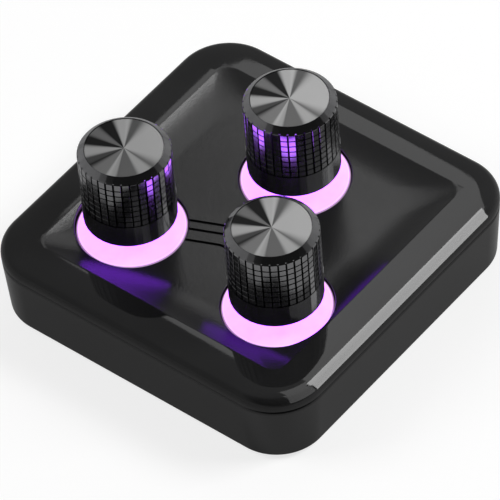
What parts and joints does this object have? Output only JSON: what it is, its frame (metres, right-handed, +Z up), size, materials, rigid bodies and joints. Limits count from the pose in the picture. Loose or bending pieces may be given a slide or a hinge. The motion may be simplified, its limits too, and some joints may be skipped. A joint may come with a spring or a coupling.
{
  "type": "three-knob desk controller",
  "caption": "Square glossy desk controller with a dished top and knurled metal push-and-turn knobs, each over a lit diffuser ring, and a USB socket behind.",
  "frame": {"origin": "middle of the body in plan, on the surface that the feet stand on", "axes": "+Z up, +X to the right along the front row of knobs, +Y to the rear wall with the socket"},
  "size_m": [0.0694, 0.0694, 0.035],
  "materials": {
    "base_gloss": "glossy black moulding",
    "cover_gloss": "glossy black moulding",
    "diffuser": "translucent diffuser, lit pink violet",
    "knob_anodised": "black anodised, knurled",
    "spun_disc": "spun face, dark anodised",
    "insert_plastic": "moulded",
    "encoder_moulding": "moulded",
    "plated_metal": "plated zinc and steel",
    "plunger_plastic": "moulded",
    "contact_metal": "tinned",
    "board_laminate": "solder mask",
    "chip_moulding": "epoxy",
    "component_ceramic": "ceramic and metal",
    "led_package": "white package",
    "socket_metal": "drawn steel",
    "screw_steel": "plated",
    "foot_rubber": "soft black"
  },
  "bodies": {
    "housing": {"base_shell": "base_gloss", "top_cover": "cover_gloss", "light_ring_left": "diffuser", "light_ring_right": "diffuser", "light_ring_rear": "diffuser", "encoder_base_left": "encoder_moulding", "encoder_base_right": "encoder_moulding", "encoder_base_rear": "encoder_moulding", "encoder_bushing_left": "plated_metal", "encoder_bushing_right": "plated_metal", "encoder_bushing_rear": "plated_metal", "encoder_pins": "contact_metal", "circuit_board": "board_laminate", "controller_chip": "chip_moulding", "board_parts": "component_ceramic", "ring_leds": "led_package", "usb_shell": "socket_metal", "usb_tongue": "chip_moulding", "case_screws": "screw_steel", "board_screws": "screw_steel", "rubber_feet": "foot_rubber"},
    "press_left": {"encoder_plunger_left": "plunger_plastic"},
    "dial_left": {"knob_left": "knob_anodised", "knob_disc_left": "spun_disc", "knob_insert_left": "insert_plastic", "encoder_shaft_left": "plated_metal"},
    "press_right": {"encoder_plunger_right": "plunger_plastic"},
    "dial_right": {"knob_right": "knob_anodised", "knob_disc_right": "spun_disc", "knob_insert_right": "insert_plastic", "encoder_shaft_right": "plated_metal"},
    "press_rear": {"encoder_plunger_rear": "plunger_plastic"},
    "dial_rear": {"knob_rear": "knob_anodised", "knob_disc_rear": "spun_disc", "knob_insert_rear": "insert_plastic", "encoder_shaft_rear": "plated_metal"}
  },
  "joints": [
    {"name": "press_left", "type": "slide", "parent": "housing", "child": "press_left", "axis": [0, 0, -1], "range_m": [0, 0.0005], "stiffness_N_per_m": 6000, "springref_m": -0.0003},
    {"name": "turn_left", "type": "hinge", "parent": "press_left", "child": "dial_left", "pos_m": [-0.0165, -0.0133, 0.02], "axis": [0, 0, 1], "continuous": true},
    {"name": "press_right", "type": "slide", "parent": "housing", "child": "press_right", "axis": [0, 0, -1], "range_m": [0, 0.0005], "stiffness_N_per_m": 6000, "springref_m": -0.0003},
    {"name": "turn_right", "type": "hinge", "parent": "press_right", "child": "dial_right", "pos_m": [0.0165, -0.0133, 0.02], "axis": [0, 0, 1], "continuous": true},
    {"name": "press_rear", "type": "slide", "parent": "housing", "child": "press_rear", "axis": [0, 0, -1], "range_m": [0, 0.0005], "stiffness_N_per_m": 6000, "springref_m": -0.0003},
    {"name": "turn_rear", "type": "hinge", "parent": "press_rear", "child": "dial_rear", "pos_m": [0, 0.0131, 0.02], "axis": [0, 0, 1], "continuous": true}
  ]
}
